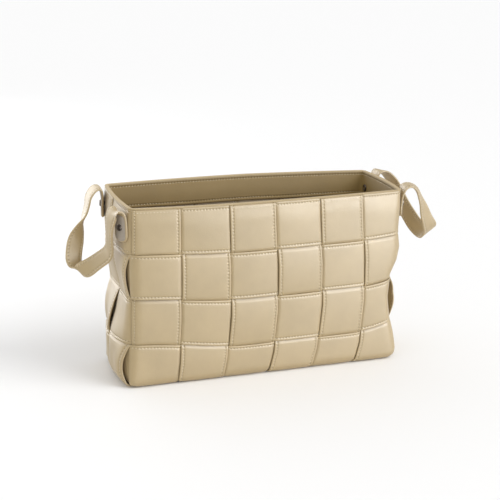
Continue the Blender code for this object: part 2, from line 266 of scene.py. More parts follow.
def tinted(tree, factor, base, colour):
    """Turns a base colour into another where factor is 1."""
    mixed = add_node(tree, "ShaderNodeMix", {"Factor": factor}, data_type="RGBA")
    tree.links.new(base, mixed.inputs[6])
    mixed.inputs[7].default_value = colour
    return mixed.outputs[2]


def add_cap_colour(tree, base, half_width, cap):
    """The paler leather of the straps where the facing turns over the rim; V runs down from there."""
    uv = add_node(tree, "ShaderNodeUVMap", uv_map="strap")
    split = add_node(tree, "ShaderNodeSeparateXYZ", {"Vector": uv.outputs["UV"]})
    over = add_node(
        tree,
        "ShaderNodeMapRange",
        {"Value": split.outputs["Y"]},
        inputs={"From Min": 0.0016 - half_width, "From Max": 0.0021 - half_width, "To Min": 1.0, "To Max": 0.0},
    )
    return tinted(tree, over.outputs["Result"], base, rgba(cap))


def add_needle_hole_shade(tree, base, normal, sizes, half_width, colour):
    """Painted shade in the needle holes: the colour darkens where the needle went in, standing in for the shade in
    each hole, and a pucker round each. UVs run in metres: U along the strap and V across it from its middle."""
    uv = add_node(tree, "ShaderNodeUVMap", uv_map="strap")
    split = add_node(tree, "ShaderNodeSeparateXYZ", {"Vector": uv.outputs["UV"]})

    def math_node(operation, *values):
        node = add_node(tree, "ShaderNodeMath", operation=operation)
        for i, value in enumerate(values):
            if isinstance(value, (int, float)):
                node.inputs[i].default_value = value
            else:
                tree.links.new(value, node.inputs[i])
        return node.outputs[0]

    line = half_width - sizes.stitch_inset
    across = math_node("SUBTRACT", math_node("ABSOLUTE", split.outputs["Y"]), line)
    along = math_node("PINGPONG", split.outputs["X"], sizes.stitch_pitch / 2)
    reach = math_node("SQRT", math_node("ADD", math_node("POWER", across, 2.0), math_node("POWER", along, 2.0)))
    # The first mask is the painted shade in each needle hole, the second the relief round it.
    hole_shade, puckered = (
        add_node(
            tree,
            "ShaderNodeMapRange",
            {"Value": reach},
            interpolation_type="SMOOTHSTEP",
            inputs={"From Min": near, "From Max": far, "To Min": start, "To Max": 1.0 - start},
        ).outputs["Result"]
        for near, far, start in ((0.00028, 0.00062, 1.0), (0.0002, 0.0016, 0.0))
    )
    bump = add_node(
        tree, "ShaderNodeBump", {"Height": puckered, "Normal": normal}, inputs={"Strength": 0.5, "Distance": 0.0005}
    )
    # The holes' colour is darkened to half: painted shade.
    return tinted(tree, hole_shade, base, rgba(colour, 0.50)), bump.outputs["Normal"]


def noise_material(name, colour, noise, shader, bump=None, tones=None, rough=None):
    """A plain material: one noise gives its relief (bump), its two tones and its spread of roughness."""
    made, tree, output = new_material(name)
    where = add_node(tree, "ShaderNodeTexCoord").outputs["Object"]
    pattern = add_node(tree, "ShaderNodeTexNoise", {"Vector": where}, inputs=noise).outputs["Fac"]
    links = {}
    if tones:
        tone = add_node(tree, "ShaderNodeValToRGB", {"Fac": pattern})
        for stop, (position, factor) in zip(tone.color_ramp.elements, tones):
            stop.position = position
            stop.color = rgba(colour, factor)
        links["Base Color"] = tone.outputs["Color"]
    if bump:
        depth = {"Strength": bump[0], "Distance": bump[1]}
        relief = add_node(tree, "ShaderNodeBump", {"Height": pattern}, inputs=depth)
        links["Normal"] = relief.outputs["Normal"]
    if rough:
        spread = {"To Min": rough[0], "To Max": rough[1]}
        shade = add_node(tree, "ShaderNodeMapRange", {"Value": pattern}, inputs=spread)
        links["Roughness"] = shade.outputs["Result"]
    face = add_node(tree, "ShaderNodeBsdfPrincipled", links, inputs={"Base Color": rgba(colour), **shader})
    tree.links.new(face.outputs["BSDF"], output.inputs["Surface"])
    return made


STITCHED_WIDTHS = {
    "coated split leather, upright straps": "upright_width",
    "coated split leather, end straps": "end_width",
    "coated split leather, bands": "band_width",
    "coated split leather, handles": "handle_width",
}
PLAIN_FINISHES = {
    # Two plies of thread laid together, so it is a little glossier than the leather.
    "bonded polyester thread": (
        "thread",
        {
            "noise": {"Scale": 1400.0, "Detail": 1.0},
            "bump": (0.3, 0.0002),
            "shader": {"Roughness": 0.45, "Sheen Weight": 0.2},
        },
    ),
    # Matt and grey, with short fibres pressed into its face.
    "coated non-woven reinforcement": (
        "lining",
        {
            "noise": {"Scale": 700.0, "Detail": 5.0, "Distortion": 1.2},
            "tones": ((0.3, 0.85), (0.75, 1.08)),
            "bump": (0.25, 0.0003),
            "shader": {"Roughness": 0.7, "Sheen Weight": 0.1},
        },
    ),
    # Stamped and tumbled: a dark satin metal with fine scratches.
    "nickel-plated steel": (
        "metal",
        {
            "noise": {"Scale": 2500.0, "Detail": 3.0, "Distortion": 2.0},
            "rough": (0.38, 0.55),
            "shader": {"Metallic": 1.0},
        },
    ),
    # A studio sweep: pale, with the faintest roller texture.
    "matt painted sweep": (
        "floor",
        {
            "noise": {"Scale": 60.0, "Detail": 2.0},
            "bump": (0.02, 0.0002),
            "shader": {"Roughness": 0.9, "Specular IOR Level": 0.2},
        },
    ),
}


def finish(key):
    """The bin's materials, each made once."""
    if key in bpy.data.materials:
        return bpy.data.materials[key]
    sizes, colours = bpy.context.scene.bin_sizes, bpy.context.scene.bin_colours
    if key in STITCHED_WIDTHS:
        return leather_material(key, colours.leather, sizes, getattr(sizes, STITCHED_WIDTHS[key]) / 2)
    if key == "coated split leather, facing":
        return leather_material(key, colours.facing, sizes, FACING_DROP / 2, 0.76, colours.leather)
    if key == "leather-covered board":
        return leather_material(key, colours.board, sizes, roughness=0.6)
    colour, settings = PLAIN_FINISHES[key]
    return noise_material(key, getattr(colours, colour), **settings)


# ---------------------------------------------------------------- the walls' surface

FLOOR = 0.0026
BOTTOM_RADIUS = 0.0054
RIM_CORNER = 0.0035
MID_CORNER = 0.0115
STRAIGHT = HEIGHT - FLOOR - BOTTOM_RADIUS
ARC_END = STRAIGHT + BOTTOM_RADIUS * math.pi / 2
MIDDLE = ARC_END + HALF_DEPTH - BOTTOM_RADIUS
FACING_DROP = 0.0262

# How the walls have moved in use. The tables give places and how far each has moved, in millimetres but for
# the last: creep by height, sag by distance down from the rim, the right end's pinch by height, and the
# lift of the back of the rim by place along it.
CREEP = ((0.0, 0.024, 0.072, 0.120, 0.168, HEIGHT), (2.2, 8.0, 11.4, 9.6, 5.2, 3.6))
SAG = ((0.0, ROW_PITCH, 2 * ROW_PITCH, 3 * ROW_PITCH, ARC_END, MIDDLE), (0.0, 4.0, 8.0, 12.0, 9.0, 0.0))
PINCH = (
    (0.0, 0.012, 0.030, 0.050, 0.072, 0.098, 0.112, 0.127, 0.150, HEIGHT),
    (1, 2, -1, -6, -8.5, -6, 0, 2.5, 0, 0),
)
RIM_LIFT = ((-HALF_LENGTH, 0.010, HALF_LENGTH), (0.0041, 0.0036, 0.0012))
# The left end's waist and the belly below it, and how far the front left of the rim leans in.
WAIST, BELLY, LEAN = 0.0052, 0.0072, 0.0015
# How much the layers are pressed together where the rim is sewn.
RIM_SQUEEZE = 0.36
# Past this distance from the middle the ends' own shape begins.
END_ZONE = 0.110


def drop_profile(down, distance):
    """Inset, height and slope of the mid-surface at a distance down from the rim, along the wall and base.

    distance is how far in the base reaches, so that inset stops at the middle.
    """
    angle = np.clip((down - STRAIGHT) / BOTTOM_RADIUS, 0.0, math.pi / 2)
    base = np.maximum(down - ARC_END, 0.0)
    inset = BOTTOM_RADIUS * (1 - np.cos(angle)) + base
    height = HEIGHT - np.minimum(down, STRAIGHT) - BOTTOM_RADIUS * np.sin(angle)
    return np.minimum(inset, distance), height, angle


def corner_radius(height):
    """The corners are sharpest at the sewn rim and roundest at the middle of the wall."""
    rise = np.clip(height / HEIGHT, 0.0, 1.0)
    return RIM_CORNER + (MID_CORNER - RIM_CORNER) * np.clip(np.sin(math.pi * rise), 0.0, 1.0) ** 0.6


def slide(around, height):
    """How far the straps have crept to the right along the front, most of all in the third row down."""
    along = np.clip(around / (2 * HALF_LENGTH), 0.0, 1.0)
    shape = np.sin(np.minimum(along / 0.7, 1.0) * math.pi / 2)
    fade = 1 - smooth(around, 2 * HALF_LENGTH + 0.01, 2 * HALF_LENGTH + 2 * HALF_DEPTH)
    return np.interp(height, *CREEP) * MM * shape * fade


def sag(around, down):
    """How far the bands hang below their places along the long sides, most of all above the lowest band."""
    front = around / (2 * HALF_LENGTH)
    back = (around - 2 * HALF_LENGTH - 2 * HALF_DEPTH) / (2 * HALF_LENGTH)
    hang = smooth(front, 0.0, 0.4) * (1 - smooth(front, 0.8, 1.06))
    hang = hang + 0.6 * smooth(back, 0.0, 0.3) * (1 - smooth(back, 0.7, 1.0))
    return np.interp(down, *SAG) * MM * hang


def bowed(points):
    """Bulges the walls outwards towards the rim, and pushes the ends in and out as they are in use."""
    sizes = bpy.context.scene.bin_sizes
    x, y, z = points[..., 0], points[..., 1], points[..., 2]
    rise = np.clip(z / HEIGHT, 0.0, 1.0) ** 0.85
    long_share = np.clip(1 - (x / HALF_LENGTH) ** 2, 0.0, 1.0)
    side = np.where(y < 0, sizes.front_bow * (1 - 0.40 * x / HALF_LENGTH), sizes.front_bow)
    cross = y / HALF_DEPTH
    cross_share = np.clip(1 - cross**2, 0.0, 1.0)
    out_y = cross * rise * long_share * side
    near_end = np.clip((np.abs(x) - END_ZONE) / (HALF_LENGTH - END_ZONE), 0.0, 1.2) ** 2
    out_x = near_end * rise * cross_share * sizes.end_bow
    waist = -WAIST * bell(z, 0.100, 0.021) * np.clip(cross_share + 0.45 * (cross > 0), 0.0, 1.0)
    belly = BELLY * (1 - smooth(z, 0.040, 0.078)) * smooth(z, -0.006, 0.016)
    belly = belly * np.clip(1 - 1.7 * (cross + 0.2) ** 2, 0.0, 1.0)
    pinch = np.interp(z, *PINCH) * MM * (0.65 - 0.35 * np.clip(cross, -1.0, 1.0))
    out_x = out_x + near_end * np.where(x < 0, waist + belly, pinch + belly * 0.5)
    upper = smooth(z, 0.110, HEIGHT)
    raised = np.interp(x, *RIM_LIFT) * upper * np.clip(0.5 + 0.5 * cross, 0.0, 1.0)
    front_share = np.clip(0.5 - 0.5 * cross, 0.0, 1.0)
    leaning = LEAN * upper * np.clip(-x / HALF_LENGTH, 0.0, 1.0) ** 3 * front_share
    return np.stack([x + np.sign(x) * out_x + leaning, y + out_y, z + raised], axis=-1)


def wall_place(around, down, out):
    """Points on the walls and base: around runs anticlockwise from the front left corner, down from the rim
    and out along the outward normal."""
    around, down, out = np.broadcast_arrays(
        np.asarray(around, float), np.asarray(down, float), np.asarray(out, float)
    )
    around = np.mod(around, AROUND)
    side_starts = np.array([0.0, 2 * HALF_LENGTH, 2 * (HALF_LENGTH + HALF_DEPTH), AROUND - 2 * HALF_DEPTH])
    side = np.clip(np.searchsorted(side_starts, around, side="right") - 1, 0, 3)
    out = out * (1 - RIM_SQUEEZE * (1 - smooth(down, 0.002, 0.016)))
    down = down + sag(around, down)
    rough_height = np.clip(HEIGHT - down, 0.0, HEIGHT)
    moved = around + np.where(side < 2, slide(around, rough_height), 0.0)
    side = np.clip(np.searchsorted(side_starts, moved, side="right") - 1, 0, 3)
    half = np.where(side % 2 == 0, HALF_LENGTH, HALF_DEPTH)
    distance = np.where(side % 2 == 0, HALF_DEPTH, HALF_LENGTH)
    inset, height, slope = drop_profile(down, distance)
    side_inset = np.minimum(inset, BOTTOM_RADIUS)
    reach = half - side_inset
    local = (moved - side_starts[side] - half) * reach / half
    radius = corner_radius(height)
    past = np.clip((np.abs(local) - (reach - radius)) / radius, 0.0, 1.0)
    turn = past * math.pi / 4
    sign = np.sign(local)
    lateral = np.where(past > 0, sign * (reach - radius + radius * np.sin(turn)), local)
    normal = distance - inset - radius * (1 - np.cos(turn))
    level = out * np.cos(slope)
    lateral = lateral + sign * np.sin(turn) * level
    normal = normal + np.cos(turn) * level
    height = height - out * np.sin(slope)
    turns = ((1, 0, 0, -1), (0, 1, 1, 0), (-1, 0, 0, 1), (0, -1, -1, 0))
    x = np.zeros_like(lateral)
    y = np.zeros_like(lateral)
    for i, (a, b, c, d) in enumerate(turns):
        here = side == i
        x = np.where(here, a * lateral + b * normal, x)
        y = np.where(here, c * lateral + d * normal, y)
    return bowed(np.stack([x, y, height], axis=-1))


# ---------------------------------------------------------------- straps


class Strap:
    """A flat padded strap that passes over and under others along its length."""

    def __init__(self, place, length, width, cells, closed):
        self.place = place
        self.length = length
        self.width = width
        self.cells = cells
        self.closed = closed
        self.curls = []
        sizes = bpy.context.scene.bin_sizes
        self.thickness = sizes.strap_thickness
        self.inset = sizes.stitch_inset
        self.arch = sizes.arch

    def level(self, along, across):
        """Height of the strap's middle above the wall's mid-surface."""
        layer = self.thickness / 2 + LAYER_GAP
        share = 2 * across / self.width
        total = np.full(np.broadcast(along, across).shape, -layer)
        for low, high, outer, bulge, edge, (dip_in, dip_out) in self.cells:
            if not outer:
                continue
            position = np.clip((along - low) / (high - low), 0.0, 1.0)
            rising = smooth(along, low - 0.0012 + 0.2 * dip_in, low - 0.0002 + dip_in)
            falling = smooth(along, high + 0.0002 - dip_out, high + 0.0012 - 0.2 * dip_out)
            hump = (4 * position * (1 - position)) ** 0.8
            loose = edge(along, across)
            rise = self.arch * bulge * hump * loose
            dome = 0.0003 * (0.45 - share**2) * loose
            total = total + rising * (1 - falling) * (2 * layer + rise + dome)
        return total

    def half_thickness(self, along, across):
        """Rounded at the folded edges, pinched along the stitching and slightly thinner outside it."""
        radius = self.thickness / 2
        from_edge = self.width / 2 - np.abs(across)
        rounding = quarter_round(from_edge / radius)
        body = 0.92 + 0.08 * smooth(from_edge, self.inset, self.inset + 0.0045)
        groove = 0.00034 * bell(from_edge, self.inset, 0.00065)
        if not self.closed:
            rounding = rounding * quarter_round(np.minimum(along, self.length - along) / radius)
        return np.maximum(radius * body * rounding - groove, THINNEST)

    def put(self, along, across, out):
        """Places points, after its loose edges have curled out and drawn back from the wall's corners."""
        across, out = across + 0.0 * out, out + 0.0
        moved = across
        for low, high, edge, lift, draw in self.curls:
            position = np.clip((along - low) / (high - low), 0.0, 1.0)
            hump = (4 * position * (1 - position)) ** 0.9
            share = smooth(2 * across * edge / self.width, -0.3, 1.0) * hump
            moved = moved - edge * draw * share
            out = out + lift * share
        return self.place(along, moved, out)

    def surface(self, along, across, side):
        """Points on the outer (side 1) or inner (side -1) face."""
        return self.put(along, across, self.level(along, across) + side * self.half_thickness(along, across))


def across_places(width, inset):
    """Where a strap's cross-section has its points: close together at the edge and the stitching."""
    edge = [0.0, 0.00025, 0.0006, 0.0011, 0.0017]
    stitch = [inset - 0.0008, inset - 0.0004, inset, inset + 0.0004, inset + 0.0008, inset + 0.0018]
    left = [-width / 2 + d for d in edge + stitch]
    middle = list(np.linspace(-width / 2 + inset + 0.004, width / 2 - inset - 0.004, 9))
    return np.array(left + middle + [-d for d in reversed(left)])


def strap_mesh(name, strap, step=0.0019):
    """The strap's closed skin, with UVs in metres: U along it and V across it."""
    count = max(8, int(round(strap.length / step)))
    along = np.linspace(0, strap.length, count, endpoint=not strap.closed)
    across = across_places(strap.width, strap.inset)
    grid_along, grid_across = np.meshgrid(along, across, indexing="ij")
    outer = strap.surface(grid_along, grid_across, 1)
    inner = strap.surface(grid_along, grid_across[:, ::-1], -1)
    return skin_mesh(name, outer, inner, along, across, strap.closed, strap.length)


def skin_mesh(name, outer, inner, along, across, closed, length):
    """A mesh from an outer face and an inner one whose rows run the other way, joined at their edges."""
    points = np.concatenate([outer, inner[:, 1:-1]], axis=1)
    return ring_mesh(name, points, along, np.concatenate([across, across[::-1][1:-1]]), closed, length)


def ring_mesh(name, points, along, across, closed, length):
    """A mesh of quads over rows of closed rings, capped at both ends unless it closes on itself."""
    rows, around = points.shape[:2]
    index = np.arange(rows * around).reshape(rows, around)
    spans = rows if closed else rows - 1
    first = index[:spans]
    second = index[(np.arange(spans) + 1) % rows]
    quads = np.stack([first, np.roll(first, -1, 1), np.roll(second, -1, 1), second], axis=-1).reshape(-1, 4)
    u_low = np.repeat(along[:spans], around)
    u_high = np.repeat(np.append(along[1:], length)[:spans], around)
    v_here = np.tile(across, spans)
    v_next = np.tile(np.roll(across, -1), spans)
    corners = ((u_low, v_here), (u_low, v_next), (u_high, v_next), (u_high, v_here))
    uvs = np.stack([np.stack(corner, -1) for corner in corners], axis=1).reshape(-1, 2)
    faces = quads.tolist()
    if not closed:
        faces.append(index[0][::-1].tolist())
        faces.append(index[-1].tolist())
        caps = [np.stack([np.full(around, along[row]), across], -1) for row in (0, -1)]
        uvs = np.concatenate([uvs, caps[0][::-1], caps[1]])
    mesh = bpy.data.meshes.new(name)
    mesh.from_pydata(points.reshape(-1, 3).tolist(), [], faces)
    layer = mesh.uv_layers.new(name="strap")
    layer.data.foreach_set("uv", uvs.astype(np.float32).ravel())
    mesh.shade_smooth()
    mesh.update()
    return outward(mesh)


def outward(mesh):
    """Turns the faces outwards if the mesh's signed volume is negative."""
    mesh.calc_loop_triangles()
    corners = np.zeros(len(mesh.loop_triangles) * 3, np.int32)
    mesh.loop_triangles.foreach_get("vertices", corners)
    places = np.zeros(len(mesh.vertices) * 3, np.float32)
    mesh.vertices.foreach_get("co", places)
    a, b, c = np.moveaxis(places.reshape(-1, 3)[corners.reshape(-1, 3)].astype(float), 1, 0)
    if np.einsum("ij,ij->i", a, np.cross(b, c)).sum() < 0:
        mesh.flip_normals()
    return mesh


def add_piece(name, mesh, material):
    """Links a piece at the origin."""
    mesh.materials.clear()
    mesh.materials.append(finish(material))
    piece = bpy.data.objects.new(name, mesh)
    bpy.context.scene.collection.objects.link(piece)
    return piece


STITCHES = {}


def add_fixed(name, mesh, material, node):
    """Adds a piece that rides on the basket in the place of a node."""
    piece = add_piece(name, mesh, material)
    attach(piece, ROOT)
    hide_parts(node)


def note_stitches(body, place, start, end):
    """Keeps one stitch for each pitch of a sewn line. place(along, lift) gives points on the line."""
    pitch = bpy.context.scene.bin_sizes.stitch_pitch
    along = start + (np.arange(math.floor((end - start) / pitch)) + 0.5) * pitch
    here = place(along, 0.0)
    forward = place(along + 0.0006, 0.0) - place(along - 0.0006, 0.0)
    lifted = place(along, 0.0004) - here
    STITCHES.setdefault(body, []).append((here, forward, lifted))


def strap_stitches(strap):
    """Topstitching along both edges of a strap, on both faces."""
    for side in (1, -1):
        for edge in (-1, 1):
            across = edge * (strap.width / 2 - strap.inset)

            def place(along, lift, side=side, across=across):
                if strap.closed:
                    along = np.mod(along, strap.length)
                line = np.full_like(along, across)
                out = strap.level(along, line) + side * (strap.half_thickness(along, line) + lift)
                return strap.put(along, across, out)

            note_stitches(ROOT, place, 0.0, strap.length)


# How far into its cell a strap takes to rise from under the next one: pressed tight, or with an open slit.
TIGHT = 0.0010
OPEN = 0.0019


# How far below the rim the straps' ends stop, and how far below them the rim's line is sewn.
RIM_GAP = 0.0013
RIM_LINE = 0.0031
# A strap's end cells reach past its ends, so that it stays in its layer up to the rim.
PAST_END = 0.02
# How far round a corner a band on top of a long side stays on top.
CORNER_REACH = 0.0025


def flat_edge(along, across):
    return np.ones(np.broadcast(along, across).shape)


def bulge_of(index, row):
    """Hand-woven straps don't all bulge alike: a fixed spread of 0.7 to 1.3."""
    return 1.0 + 0.3 * math.sin(index * 2.4 + row * 1.7 + index * row * 0.9)


def upright_is_outer(column, row, back):
    return (row + column) % 2 == (1 if back else 0)


def end_is_outer(end_column, row, right):
    return (row + end_column) % 2 == (0 if right else 1)


def wall_cells(is_outer, seed):
    """Cells of a strap that runs down a wall."""
    ends = [0.0, ROW_PITCH, 2 * ROW_PITCH, 3 * ROW_PITCH, ARC_END]
    cells = []
    for row in range(1, ROWS + 1):
        bulge = bulge_of(seed, row) * (0.8 if row == 1 else 1.0)
        cells.append((ends[row - 1], ends[row], is_outer(row), bulge, flat_edge, (TIGHT, OPEN)))
    return cells


def mirrored(cells, total):
    return [
        (total - high, total - low, outer, bulge, edge, dips[::-1])
        for low, high, outer, bulge, edge, dips in reversed(cells)
    ]


def crossing_strap(walls, base_outer, depth, width):
    """A strap that runs down one wall, under the base and up the opposite wall. Each wall has the place of
    its middle round the walls, the way that across runs there, its rule for lying on top, and a seed."""
    turn = ARC_END + depth - BOTTOM_RADIUS
    total = 2 * turn
    (middle, sign, is_outer, seed), (far_middle, far_sign, far_is_outer, far_seed) = walls

    def place(along, across, out):
        near = along <= turn
        down = np.where(near, along, total - along)
        around = np.where(near, middle + sign * across, far_middle + far_sign * across)
        return wall_place(around, down + RIM_GAP * (1 - down / turn), out)

    cells = wall_cells(is_outer, seed)
    marks = [2 * depth * i / len(base_outer) for i in range(len(base_outer) + 1)]
    marks[0], marks[-1] = BOTTOM_RADIUS, 2 * depth - BOTTOM_RADIUS
    for start, end, outer in zip(marks, marks[1:], base_outer):
        low, high = ARC_END + start - BOTTOM_RADIUS, ARC_END + end - BOTTOM_RADIUS
        cells.append((low, high, outer, 0.0, flat_edge, (TIGHT, OPEN)))
    cells += mirrored(wall_cells(far_is_outer, far_seed), total)
    cells[0] = (-PAST_END,) + cells[0][1:]
    cells[-1] = cells[-1][:1] + (total + PAST_END,) + cells[-1][2:]
    return Strap(place, total, width, cells, False)


def upright_strap(column):
    """Down the front, under the base and up the back."""
    middle = (column - 0.5) * CELL
    walls = (
        (middle, 1, lambda row: upright_is_outer(column, row, False), column),
        (AROUND - 2 * HALF_DEPTH - middle, -1, lambda row: upright_is_outer(column, row, True), column + 7),
    )
    base = [(column + index) % 2 == 1 for index in range(END_COLUMNS)]
    return crossing_strap(walls, base, HALF_DEPTH, bpy.context.scene.bin_sizes.upright_width)


def end_strap(end_column):
    """Down the left end, along the base and up the right end. Column 1 is at the front."""
    middle = (end_column - 1.5) * HALF_DEPTH
    walls = (
        (AROUND - HALF_DEPTH - middle, -1, lambda row: end_is_outer(end_column, row, False), end_column + 11),
        (2 * HALF_LENGTH + HALF_DEPTH + middle, 1, lambda row: end_is_outer(end_column, row, True), end_column + 17),
    )
    base = [(index + 1 + end_column) % 2 == 1 for index in range(COLUMNS)]
    strap = crossing_strap(walls, base, HALF_LENGTH, bpy.context.scene.bin_sizes.end_width)
    total = strap.length
    if end_column == 1:
        strap.curls = [
            (ROW_PITCH, 2 * ROW_PITCH, -1, 0.0020, 0.0055),
            (3 * ROW_PITCH, ARC_END, -1, 0.0035, 0.0055),
            (total - 3 * ROW_PITCH, total - 2 * ROW_PITCH, -1, 0.0120, 0.0030),
        ]
    else:
        strap.curls = [
            (2 * ROW_PITCH, 3 * ROW_PITCH, -1, 0.0030, 0.0),
            (2 * ROW_PITCH, 3 * ROW_PITCH, 1, 0.0015, 0.002),
            (total - ARC_END, total - 3 * ROW_PITCH, 1, 0.0030, 0.006),
            (total - 2 * ROW_PITCH, total - ROW_PITCH, 1, 0.0030, 0.004),
        ]
    return strap


def ring_cells(row):
    """Cells of a band round the walls, from the front left corner: front, right, back and left."""
    cells = []
    start = 0.0

    def edge(along, across):
        if row != 1:
            return flat_edge(along, across)
        return smooth(-across, -0.0234, -0.002) * flat_edge(along, across)

    sides = (
        (range(1, COLUMNS + 1), upright_is_outer, False, CELL, 3, (TIGHT, OPEN)),
        (range(1, END_COLUMNS + 1), end_is_outer, True, HALF_DEPTH, 21, (TIGHT, OPEN)),
        (range(COLUMNS, 0, -1), upright_is_outer, True, CELL, 31, (OPEN, TIGHT)),
        (range(END_COLUMNS, 0, -1), end_is_outer, False, HALF_DEPTH, 41, (OPEN, TIGHT)),
    )
    for columns, other_is_outer, far, width, seed, dips in sides:
        for column in columns:
            outer = not other_is_outer(column, row, far)
            cells.append((start, start + width, outer, bulge_of(column + seed, row), edge, dips))
            start += width
    corners = (0.0, 2 * HALF_LENGTH, 2 * (HALF_LENGTH + HALF_DEPTH), AROUND - 2 * HALF_DEPTH, AROUND)
    for i, (low, high, outer, *rest) in enumerate(cells):
        if outer and high - low > HALF_DEPTH + MM:
            low -= CORNER_REACH * any(abs(low - corner) < MM for corner in corners)
            high += CORNER_REACH * any(abs(high - corner) < MM for corner in corners)
            cells[i] = (low, high, outer, *rest)
    last = cells[-1]
    cells.insert(0, (last[0] - AROUND, last[1] - AROUND) + last[2:])
    cells.append((cells[1][0] + AROUND, cells[1][1] + AROUND) + cells[1][2:])
    return cells


def ring_band(row):
    """A band round the four walls. Its across runs upwards from its middle."""
    middle = (row - 0.5) * ROW_PITCH
    if row == 1:
        middle += RIM_GAP / 2

    def place(along, across, out):
        return wall_place(along, middle - across, out)

    band = Strap(place, AROUND, bpy.context.scene.bin_sizes.band_width, ring_cells(row), True)
    if row == ROWS:
        back_left = AROUND - 2 * HALF_DEPTH
        band.curls = [(back_left, back_left + HALF_DEPTH, 1, 0.0012, 0.0)]
    return band


def rim_stitches(strap):
    """The rim's sewn line where it crosses an end of a strap that lies on top."""
    for along in (RIM_LINE, strap.length - RIM_LINE):
        if not any(outer and low <= along <= high for low, high, outer, *_ in strap.cells):
            continue

        def place(across, lift, along=along):
            out = strap.level(along, across) + strap.half_thickness(along, across)
            return strap.put(along, across, out + lift)

        note_stitches(ROOT, place, -strap.width / 2 + 0.001, strap.width / 2 - 0.001)


# ---------------------------------------------------------------- rim facing

FACING_LEVEL = -0.0043
# The facing's two sewn lines, by distance down from the rim.
FACING_LINES = (0.0039, FACING_DROP - 0.003)


def wall_ring(name, outline, step, middle, wave=0.0):
    """A ring of one section round the walls. The section is a row of levels and distances down."""
    around = np.linspace(0, AROUND, int(AROUND / step), endpoint=False)
    levels, downs = np.array(outline).T
    grid_around, grid_level = np.meshgrid(around, levels, indexing="ij")
    grid_down = np.meshgrid(around, downs, indexing="ij")[1]
    ripple = wave * np.sin(grid_around * 61.0) * smooth(grid_down, 0.004, 0.02)
    points = wall_place(grid_around, grid_down, grid_level + ripple)
    return ring_mesh(name, points, around, downs - middle, True, AROUND)


def stiffener_mesh(name):
    """A thin strip of board between the straps and the facing."""
    outline = [(-0.0021, 0.003), (-0.0021, 0.020), (-0.0029, 0.020), (-0.0029, 0.003)]
    return wall_ring(name, outline, 0.004, 0.0)


def facing_mesh(name):
    """A folded strip that lines the rim and turns over the strap ends with a rounded nose."""
    inner, back, lip, under, low = FACING_LEVEL, FACING_LEVEL + 0.0012, 0.0024, 0.0014, FACING_DROP
    outline = [(lip - 0.0007, under), (lip - 0.0002, under - 0.0003), (lip, under - 0.0007)]
    outline += [(lip - 0.0002, 0.0003), (lip - 0.0007, 0.0)]
    outline += [(level, 0.0) for level in np.linspace(lip - 0.002, inner + 0.002, 5)]
    outline += [(inner + 0.0008, 0.0001), (inner + 0.0002, 0.0005), (inner, 0.0012)]
    places = [0.0022, 0.0031, 0.0035, 0.0039, 0.0043, 0.0047, 0.0056, 0.009, 0.013, 0.017]
    places += [low - d for d in (0.0048, 0.0038, 0.0034, 0.003, 0.0026, 0.0022, 0.0012)]
    for down in places:
        groove = 0.00035 * sum(bell(down, line, 0.0006) for line in FACING_LINES)
        outline.append((inner + groove, down))
    outline += [(inner + 0.0002, low - 0.0004), (inner + 0.0006, low), (back - 0.0004, low), (back, low - 0.0004)]
    outline += [(back, 0.016), (back, 0.009), (back, under + 0.0012), (back + 0.0004, under)]
    return wall_ring(name, outline, 0.0022, FACING_DROP / 2, 0.00025)


def facing_stitches():
    """The facing's two sewn lines inside."""
    for down in FACING_LINES:

        def place(along, lift, down=down):
            return wall_place(along, down, FACING_LEVEL + 0.00035 - lift)

        note_stitches(ROOT, place, 0.0, AROUND)


# ---------------------------------------------------------------- stitching

# A stitch shows for most of its pitch, and the thread is about the size of an upholstery thread.
STITCH_SHARE = 0.74
THREAD_THICKNESS = 0.00062


def stitch_tree(name):
    """Lays one short stitch on each point, along its `along` attribute and standing on its `out`."""
    tree = bpy.data.node_groups.new(name, "GeometryNodeTree")
    sockets = {}
    for socket, kind, default in (
        ("Geometry", "NodeSocketGeometry", None),
        ("Stitch Length", "NodeSocketFloat", 0.0023),
        ("Stitch Thickness", "NodeSocketFloat", 0.0006),
        ("Material", "NodeSocketMaterial", None),
    ):
        made = tree.interface.new_socket(name=socket, in_out="INPUT", socket_type=kind)
        if default is not None:
            made.default_value = default
        sockets[socket] = made.identifier
    tree.interface.new_socket(name="Geometry", in_out="OUTPUT", socket_type="NodeSocketGeometry")
    start = tree.nodes.new("NodeGroupInput")
    ball = add_node(tree, "GeometryNodeMeshUVSphere", inputs={"Segments": 5, "Rings": 3, "Radius": 0.5})
    length, thickness = start.outputs["Stitch Length"], start.outputs["Stitch Thickness"]
    size = add_node(tree, "ShaderNodeCombineXYZ", {"X": length, "Y": thickness, "Z": thickness})
    stretched = add_node(
        tree, "GeometryNodeTransform", {"Geometry": ball.outputs["Mesh"], "Scale": size.outputs["Vector"]}
    )
    out, along = (
        add_node(tree, "GeometryNodeInputNamedAttribute", data_type="FLOAT_VECTOR", inputs={"Name": key})
        for key in ("out", "along")
    )
    upright = add_node(tree, "FunctionNodeAlignRotationToVector", {"Vector": out.outputs["Attribute"]}, axis="Z")
    turned = add_node(
        tree,
        "FunctionNodeAlignRotationToVector",
        {"Rotation": upright.outputs["Rotation"], "Vector": along.outputs["Attribute"]},
        axis="X",
        pivot_axis="Z",
    )
    laid = add_node(
        tree,
        "GeometryNodeInstanceOnPoints",
        {
            "Points": start.outputs["Geometry"],
            "Instance": stretched.outputs["Geometry"],
            "Rotation": turned.outputs["Rotation"],
        },
    )
    real = add_node(tree, "GeometryNodeRealizeInstances", {"Geometry": laid.outputs["Instances"]})
    smoothed = add_node(tree, "GeometryNodeSetShadeSmooth", {"Geometry": real.outputs["Geometry"]})
    painted = add_node(
        tree,
        "GeometryNodeSetMaterial",
        {"Geometry": smoothed.outputs["Geometry"], "Material": start.outputs["Material"]},
    )
    end = tree.nodes.new("NodeGroupOutput")
    tree.links.new(painted.outputs["Geometry"], end.inputs["Geometry"])
    return tree, sockets


